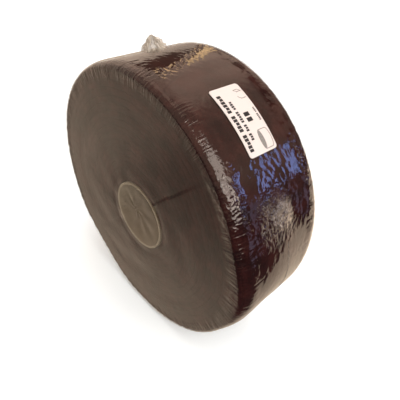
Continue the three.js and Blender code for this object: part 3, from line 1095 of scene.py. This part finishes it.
@dataclass
class StickerPrint:
    """Plain marks on the sticker: ruled blocks in lines, a drum and a box in outline.

    Places are metres along the sticker, the way it is read, and up it, which is towards
    the front face, both from its middle.
    """

    sticker: Sticker
    ink_lift: float = 0.02 * MM
    stroke: float = 0.7 * MM

    def __post_init__(self) -> None:
        """Starts with no strips."""
        self.points: list[np.ndarray] = []
        self.faces: list[np.ndarray] = []

    def strip(self, low: np.ndarray, high: np.ndarray) -> None:
        """A strip between two lines of (along, up) places, facing outwards."""
        lift = self.sticker.lift + self.sticker.thickness + self.ink_lift
        flat = np.stack([low, high])
        points = self.sticker.on_roll(flat[..., 0], -flat[..., 1], lift)
        start = sum(len(part) for part in self.points)
        self.points.append(points.reshape(-1, 3))
        self.faces.append(Surface.faces(2, len(low), False, False).reshape(-1, 4) + start)

    def block(self, along: float, up: float, length: float, height: float) -> None:
        """A filled rectangle from its lower left corner."""
        steps = max(2, int(length / (1.5 * MM)) + 2)
        run = np.linspace(along, along + length, steps)
        low = np.stack([run, 0 * run + up], axis=-1)
        self.strip(low, low + (0.0, height))

    def line(self, path: list[tuple[float, float]] | np.ndarray, width: float) -> None:
        """A stroke of even width along a path, mitred at its corners."""
        path = np.asarray(path, dtype=float)
        run = np.gradient(path, axis=0)
        run /= np.maximum(np.linalg.norm(run, axis=1, keepdims=True), 1e-9)
        side = np.stack([-run[:, 1], run[:, 0]], axis=-1) * width / 2
        self.strip(path - side, path + side)

    def ruled_line(
        self,
        along: float,
        up: float,
        length: float,
        height: float,
        groups: tuple[int, ...],
        weight: float,
    ) -> None:
        """A line of plain upright blocks in groups, as a layout drawing shows writing.

        Args:
            along: where the line starts.
            up: its foot.
            length: its whole length.
            height: the blocks' height.
            groups: how many blocks each group has.
            weight: share of a block's pitch that is inked.
        """
        pitch = length / (sum(groups) + 0.8 * (len(groups) - 1))
        place = along
        for group in groups:
            for number in range(group):
                short = 0.2 * height * ((number * 7 + group) % 3 == 1)
                self.block(place, up, pitch * weight, height - short)
                place += pitch
            place += 0.8 * pitch

    def roll_mark(self, along: float, up: float) -> None:
        """A plain drum on its face: an oval top in full tone over an outlined side."""
        turn = np.linspace(math.pi, 0, 25)
        wide, high, tall = 9.0 * MM, 2.7 * MM, 8.5 * MM
        arc = np.stack([wide * np.cos(turn), high * np.sin(turn)], axis=-1)
        self.strip(arc * (1, -1) + (along, up), arc + (along, up))
        self.line(arc * (1, -1) + (along, up - tall), self.stroke)
        for side in (-wide, wide):
            self.line([(along + side, up), (along + side, up - tall)], self.stroke)

    def box_mark(self, along: float, up: float) -> None:
        """A plain upright box: a front, a lid's edge and a side."""
        wide, high, deep = 8.0 * MM, 5.0 * MM, 2.4 * MM
        corners = [(0, 0), (wide, 0), (wide, high), (0, high), (0, 0)]
        lid = [(0, high), (deep, high + deep), (wide + deep, high + deep), (wide, high)]
        side = [(wide + deep, high + deep), (wide + deep, deep), (wide, 0)]
        for path in (corners, lid, side):
            for first, last in zip(path, path[1:]):
                ends = np.array([first, last]) + (along, up)
                self.line(ends, self.stroke)

    def finish(self, name: str, material: bpy.types.Material) -> None:
        """Makes one piece of the strips so far and starts afresh."""
        mesh = bpy.data.meshes.new(name)
        faces = np.concatenate(self.faces).tolist()
        mesh.from_pydata(np.concatenate(self.points).tolist(), [], faces)
        mesh.shade_smooth()
        mesh.materials.append(material)
        settle_piece(new_object(name, mesh), "label_paper")
        self.__post_init__()

    def build(self, black: bpy.types.Material, grey: bpy.types.Material) -> None:
        """The black lines, then the grey marks."""
        self.ruled_line(-30 * MM, 9.8 * MM, 58 * MM, 4.6 * MM, (5, 5, 6), 0.82)
        self.ruled_line(-21 * MM, 3.6 * MM, 40 * MM, 3.4 * MM, (3, 3, 5, 4), 0.78)
        self.ruled_line(-5 * MM, -6.6 * MM, 11 * MM, 6.4 * MM, (2,), 0.74)
        self.ruled_line(-7 * MM, -15.6 * MM, 14 * MM, 2.2 * MM, (5, 4), 0.7)
        self.finish("sticker_lines", black)
        self.roll_mark(-23.5 * MM, -4.6 * MM)
        self.box_mark(18 * MM, -15.0 * MM)
        self.finish("sticker_marks", grey)


@dataclass
class LooseFibres:
    """Single fibres that stand off the web, on its tread and along its edges."""

    count: int = 5200
    length: float = 9 * MM
    width: float = 0.16 * MM
    seed: int = 81

    def ribbon(self, middle: np.ndarray, run: np.ndarray, side: np.ndarray) -> np.ndarray:
        """Points of curved ribbons, one ribbon a row.

        Each runs along its own direction and bends sideways as a parabola.
        """
        share = np.linspace(-1, 1, 5)[None, :, None]
        draw = np.random.default_rng(self.seed + 1)
        bend = draw.normal(0, 0.35, (len(middle), 1, 1))
        spine = middle[:, None] + self.length / 2 * (run[:, None] * share)
        spine = spine + self.length / 2 * side[:, None] * bend * share**2
        edge = self.width / 2 * side[:, None] * (1.1 - share**2)
        return np.stack([spine - edge, spine + edge], axis=2)

    def on_last_turn(self, web: WebWinding, draw: np.random.Generator, count: int) -> np.ndarray:
        """Ribbons that lie on the web's last turn, in any direction."""
        degrees = draw.uniform(-75, 255, count)
        y = draw.uniform(-Roll.half_web + 6 * MM, Roll.half_web - 6 * MM, count)
        turns = Roll.web_turns - ((Roll.tail_angle - 2.0 - degrees) % 360.0) / 360.0
        radius = web.under_side(turns + 1.0) - web.gap + draw.uniform(0.05, 0.3, count) * MM
        angle = np.radians(degrees)
        zero = np.zeros(count)
        out = np.stack([np.cos(angle), zero, np.sin(angle)], axis=-1)
        along = np.stack([-np.sin(angle), zero, np.cos(angle)], axis=-1)
        across = np.stack([zero, zero + 1.0, zero], axis=-1)
        lean = draw.uniform(0, math.pi, (count, 1))
        run = along * np.cos(lean) + across * np.sin(lean)
        side = np.cross(out, run)
        return self.ribbon(Roll.on_tread(radius, degrees, y), run, side)

    def on_faces(self, draw: np.random.Generator, count: int) -> np.ndarray:
        """Ribbons that lie on the web's cut edges, mostly along the turns."""
        degrees = draw.uniform(0, 360, count)
        radius = np.sqrt(draw.uniform(45.0**2, 140.0**2, count)) * MM
        end = np.where(draw.uniform(size=count) < 0.6, -1.0, 1.0)
        y = end * (Roll.half_web + draw.uniform(-0.2, 0.05, count) * MM)
        angle = np.radians(degrees)
        zero = np.zeros(count)
        out = np.stack([np.cos(angle), zero, np.sin(angle)], axis=-1)
        along = np.stack([-np.sin(angle), zero, np.cos(angle)], axis=-1)
        lean = draw.normal(0, 0.5, (count, 1))
        run = along * np.cos(lean) + out * np.sin(lean)
        side = np.cross(np.stack([zero, end, zero], axis=-1), run)
        return self.ribbon(Roll.on_tread(radius, degrees, y), run, side)

    def build(self, web: WebWinding, material: bpy.types.Material) -> None:
        """Scatters half of the ribbons over the last turn and half over both faces."""
        draw = np.random.default_rng(self.seed)
        half = self.count // 2
        tread = self.on_last_turn(web, draw, half)
        face = self.on_faces(draw, self.count - half)
        points = np.concatenate([tread, face])
        quads = Surface.faces(5, 2, False, False).reshape(1, -1, 4)
        quads = quads + 10 * np.arange(len(points))[:, None, None]
        mesh = bpy.data.meshes.new("loose_fibres")
        mesh.from_pydata(points.reshape(-1, 3).tolist(), [], quads.reshape(-1, 4).tolist())
        mesh.materials.append(material)
        settle_piece(new_object("loose_fibres", mesh), "abrasive_web")


# ---- Studio ------------------------------------------------------------------------


@dataclass(frozen=True)
class Patch:
    """A lit or dark part of the mirrored room, by direction, all in degrees.

    Attributes:
        azimuth: where it starts and ends round the roll, at the horizon.
        elevation: where it starts and ends above the horizon.
        soft: how wide its soft edges are, sideways and upwards.
        colour: its light.
        lean: how far its sides lean over for each degree up.
    """

    azimuth: tuple[float, float]
    elevation: tuple[float, float]
    soft: tuple[float, float]
    colour: tuple[float, float, float]
    lean: float = 0.0

    def share(self, round_about: Value, height: Value) -> Value:
        """How much of a direction it fills, 0 to 1."""
        upright = round_about - self.lean * height
        wide, high = self.soft
        return upright.between(*self.azimuth, wide) * height.between(*self.elevation, high)


@dataclass
class Studio:
    """The floor, the light and the camera."""

    camera_place: tuple[float, float, float] = (0.3010, -0.2471, 0.4424)
    camera_aim: tuple[float, float, float] = (0.0245, 0.0172, 0.1491)
    camera_lens: float = 36.2
    camera_roll: float = 2.75  # degrees
    floor_size: float = 30.0
    bench_angle: float = 54.9  # of the bench's edge, which stands on the labelled side
    bench_edge: float = 0.17  # from the roll's axis
    bench_reach: float = 4.0
    patches: tuple[Patch, ...] = (
        Patch((137.0, 150.0), (14.0, 29.0), (2.0, 2.0), (0.10, 0.06, 0.045)),  # a dark figure
        Patch((134.5, 137.5), (12.0, 34.0), (1.0, 1.0), (1.9, 1.3, 0.7)),  # its warm edge
        Patch((41.1, 46.4), (8.5, 25.0), (0.5, 1.0), (1.25, 1.75, 3.9), 0.4),  # blue window
        Patch((33.5, 43.0), (-18.0, 8.0), (1.5, 1.5), (0.42, 0.38, 0.56)),  # dim one below it
        Patch((-12.0, 32.0), (12.0, 30.0), (4.0, 4.0), (4.6, 4.1, 3.7)),  # near window
        Patch((-14.0, 39.0), (30.0, 60.0), (6.0, 6.0), (3.0, 2.6, 2.3)),  # and its upper part
    )

    def camera(self) -> None:
        """A camera looking down on the roll's front face and labelled side."""
        data = bpy.data.cameras.new("camera")
        data.lens = self.camera_lens
        data.sensor_width = 36.0
        data.clip_start = 0.01
        camera = new_object("camera", data)
        camera.location = self.camera_place
        aim = Vector(self.camera_aim) - Vector(self.camera_place)
        camera.rotation_mode = "QUATERNION"
        roll = Quaternion((0.0, 0.0, 1.0), math.radians(self.camera_roll))
        camera.rotation_quaternion = aim.to_track_quat("-Z", "Y") @ roll
        bpy.context.scene.camera = camera

    def sheet(self, name: str, corners: list[tuple[float, float, float]]) -> bpy.types.Object:
        """A flat stage piece with these corners."""
        mesh = bpy.data.meshes.new(name)
        mesh.from_pydata(corners, [], [list(range(len(corners)))])
        piece = new_object(name, mesh)
        return piece

    def floor(self) -> None:
        """A pale floor that the film doesn't mirror."""
        material, shading = new_material("floor")
        inputs = {"Base Color": (0.87, 0.95, 1.0, 1.0), "Roughness": 0.9}
        inputs |= {"Emission Color": (0.93, 1.0, 1.0, 1.0), "Emission Strength": 0.32}
        shading.surface(shading.node("ShaderNodeBsdfPrincipled", None, inputs))
        far = self.floor_size
        corners = [(-far, -far, 0), (far, -far, 0), (far, far, 0), (-far, far, 0)]
        floor = self.sheet("floor", corners)
        floor.data.materials.append(material)
        floor.visible_glossy = False

    def bench(self) -> None:
        """The near part of the floor that the film mirrors, up to the bench's edge.

        A glowing sheet: painted light that stands for the lit floor. It has a painted
        shadow of the roll and a painted pool of light in its glow.
        """
        lie, reach = math.radians(self.bench_angle), self.bench_reach
        along = Vector((math.cos(lie), math.sin(lie), 0.0))
        across = Vector((math.sin(lie), -math.cos(lie), 0.0))
        corners = [
            tuple(across * self.bench_edge - along * reach),
            tuple(across * self.bench_edge + along * reach),
            tuple(-across * reach + along * reach),
            tuple(-across * reach - along * reach),
        ]
        bench = self.sheet("bench", corners)
        glow, shading = new_material("bench")
        x, y, _ = shading.axes(shading.place())
        # painted shadow of the roll (shaded) and painted pool of light (lit) set the glow's
        # strength
        shaded = x.between(-0.30, 0.02, 0.12) * y.between(-0.42, -0.16, 0.10)
        lit = y.smooth(0.02, 0.40) * x.smooth(0.02, 0.16)
        strength = 0.54 - 0.24 * shaded + 0.88 * lit
        inputs = {"Color": (1.0, 0.80, 0.61, 1.0), "Strength": strength}
        shading.surface(shading.node("ShaderNodeEmission", None, inputs))
        bench.data.materials.append(glow)
        self.mirrored_only(bench)

    @staticmethod
    def mirrored_only(piece: bpy.types.Object) -> None:
        """Hides a stage piece from all but mirroring."""
        piece.visible_camera = False
        piece.visible_diffuse = False
        piece.visible_shadow = False
        piece.visible_transmission = False

    def backdrop(self) -> None:
        """A pale wall all round, far off, that only the camera sees."""
        count, radius, height = 48, 12.0, 30.0
        angle = np.linspace(0, 2 * math.pi, count, endpoint=False)
        rings = [
            np.stack([radius * np.cos(angle), radius * np.sin(angle), np.full(count, z)], -1)
            for z in (-1.0, height)
        ]
        material, shading = new_material("backdrop")
        inputs = {"Color": (0.93, 0.93, 0.93, 1.0), "Strength": 1.0}
        shading.surface(shading.node("ShaderNodeEmission", None, inputs))
        wall = Surface.build("backdrop", np.stack(rings), material, wrap_columns=True)
        wall.visible_glossy = False
        wall.visible_diffuse = False
        wall.visible_shadow = False
        wall.visible_transmission = False

    def room(self) -> None:
        """What the film mirrors above the bench: a dim room under a bright ceiling."""
        world = bpy.data.worlds.new("room")
        bpy.context.scene.world = world
        shading = Shading(world)
        direction = shading.node("ShaderNodeTexCoord", output="Generated")
        x, y, z = shading.axes(direction)
        height = z.maths("ARCSINE", z) * DEGREES
        round_about = y.maths("ARCTAN2", y, x) * DEGREES
        dim = (0.10, 0.075, 0.07)
        black = (0.03, 0.02, 0.02)
        wall = (0.52, 0.36, 0.28)
        ceiling = (1.14, 0.84, 0.66)
        left_wall = (0.68, 0.54, 0.43)
        cloud = shading.noise(direction, 4.0, 3.0).smooth(0.3, 0.7)
        colour = shading.blend(height.smooth(-12.0, -4.0), black, dim)
        colour = shading.blend(height.smooth(2.0, 26.0), colour, wall)
        left = round_about.maths("ABSOLUTE", round_about).smooth(125.0, 150.0)
        colour = shading.blend(left, colour, left_wall)
        back = round_about.smooth(88.0, 108.0) * height.smooth(14.0, 34.0)
        colour = shading.blend(back, colour, ceiling)
        colour = shading.blend(0.35 * cloud * height.smooth(5.0, 20.0), colour, dim)
        for patch in self.patches:
            share = patch.share(round_about, height)
            colour = shading.blend(share, colour, patch.colour)
        background = shading.node("ShaderNodeBackground", None, {"Color": colour, "Strength": 1.0})
        shading.node("ShaderNodeOutputWorld", None, {"Surface": background})

    def lamp(
        self,
        name: str,
        place: tuple[float, float, float],
        aim: tuple[float, float, float],
        size: tuple[float, float],
        power: float,
    ) -> None:
        """A soft rectangular light that the film doesn't mirror.

        Args:
            name: the light's name.
            place: where it is.
            aim: what it faces.
            size: its width and height.
            power: in watts.
        """
        data = bpy.data.lights.new(name, "AREA")
        data.shape = "RECTANGLE"
        data.size, data.size_y = size
        data.energy = power
        light = new_object(name, data)
        light.location = place
        light.rotation_mode = "QUATERNION"
        light.rotation_quaternion = (Vector(aim) - Vector(place)).to_track_quat("-Z", "Y")
        light.visible_glossy = False

    def build(self) -> None:
        """Everything round the roll."""
        bpy.context.scene.view_settings.view_transform = "Standard"
        self.camera()
        self.floor()
        self.bench()
        self.backdrop()
        self.room()
        middle = (0.0, 0.0, Roll.centre_height)
        self.lamp("overhead", (0.5, 0.4, 2.2), middle, (2.2, 2.2), 40.0)
        self.lamp("front", (-0.3, -2.0, 1.6), middle, (2.0, 1.6), 14.0)


# ---- Main --------------------------------------------------------------------------


def main() -> None:
    """Builds the roll from its core out."""
    logging.basicConfig(level=logging.INFO, format="%(name)s: %(message)s")
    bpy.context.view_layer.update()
    Studio().build()
    kraft = KraftPaper().material()
    PaperCore().build(kraft)
    web = WebWinding()
    web.build(AbrasiveFibre().material("abrasive_fibre"))
    LooseFibres().build(web, AbrasiveFibre(deep=(0.012, 0.002, 0.002)).material("loose_fibre"))
    film = ShrinkFilm()
    gathered = film.material("gathered_film", 0.5)
    weld = ShrinkFilm(tint=(0.16, 0.14, 0.13)).material("film_weld", 0.1)
    FilmBag().build(film.material("clear_film"), gathered, weld)
    sticker = Sticker()
    sticker.build(StickerPaper().material())
    grey = Ink((0.19, 0.18, 0.17))
    StickerPrint(sticker).build(Ink().material("black_ink"), grey.material("grey_ink"))


if __name__ == "__main__":
    main()
